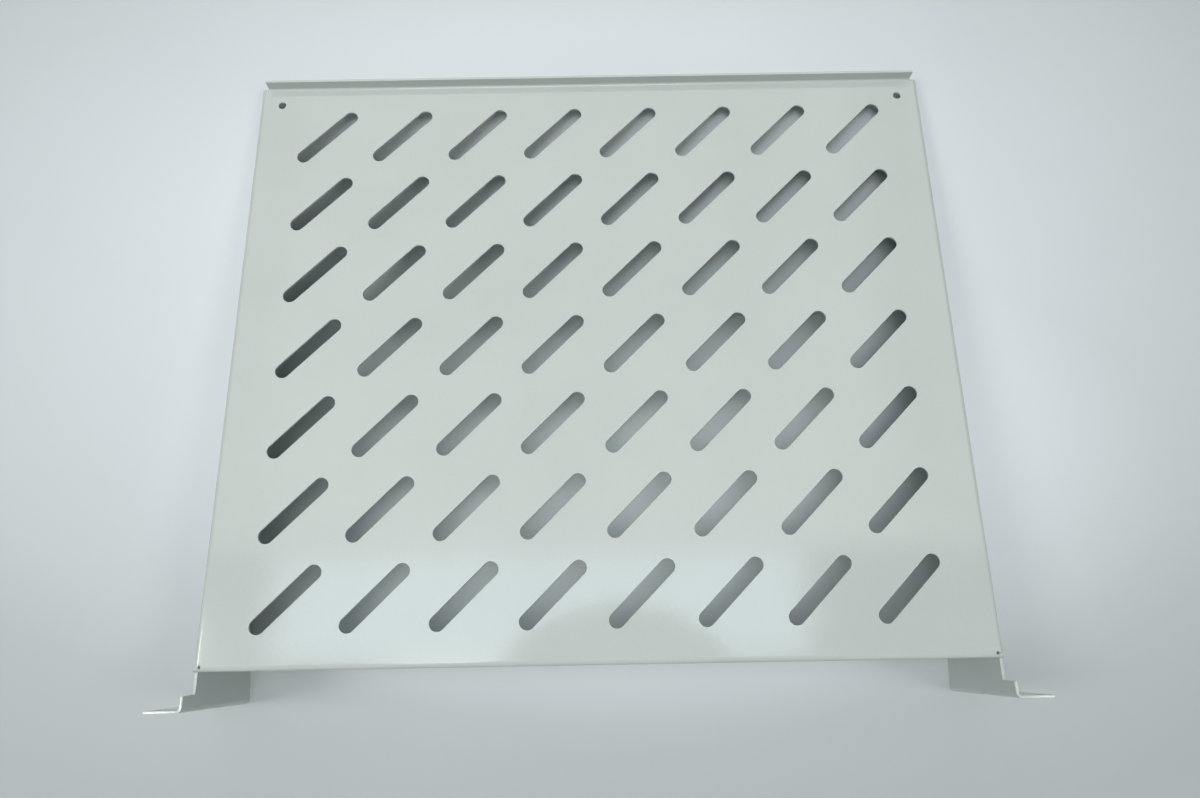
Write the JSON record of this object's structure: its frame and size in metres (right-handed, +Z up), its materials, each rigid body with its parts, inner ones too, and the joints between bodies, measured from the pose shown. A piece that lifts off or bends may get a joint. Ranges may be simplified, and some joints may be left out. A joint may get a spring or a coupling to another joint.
{
  "type": "rack shelf",
  "caption": "Fixed cantilever rack shelf folded from one steel sheet: slotted deck, tapering side walls turned down, upturned rear lip and slotted mounting ears at the front.",
  "frame": {"origin": "under the middle of the whole shelf, at the height of the ears' lower edges, with the deck level as it hangs in the rack", "axes": "+X to the right seen from the front, +Y to the rear, +Z up"},
  "size_m": [0.4826, 0.398, 0.0881],
  "materials": {
    "grey_powder_coat": "semi-gloss light grey powder coat with a fine orange peel"
  },
  "bodies": {
    "root": {"shelf": "grey_powder_coat"}
  },
  "joints": []
}
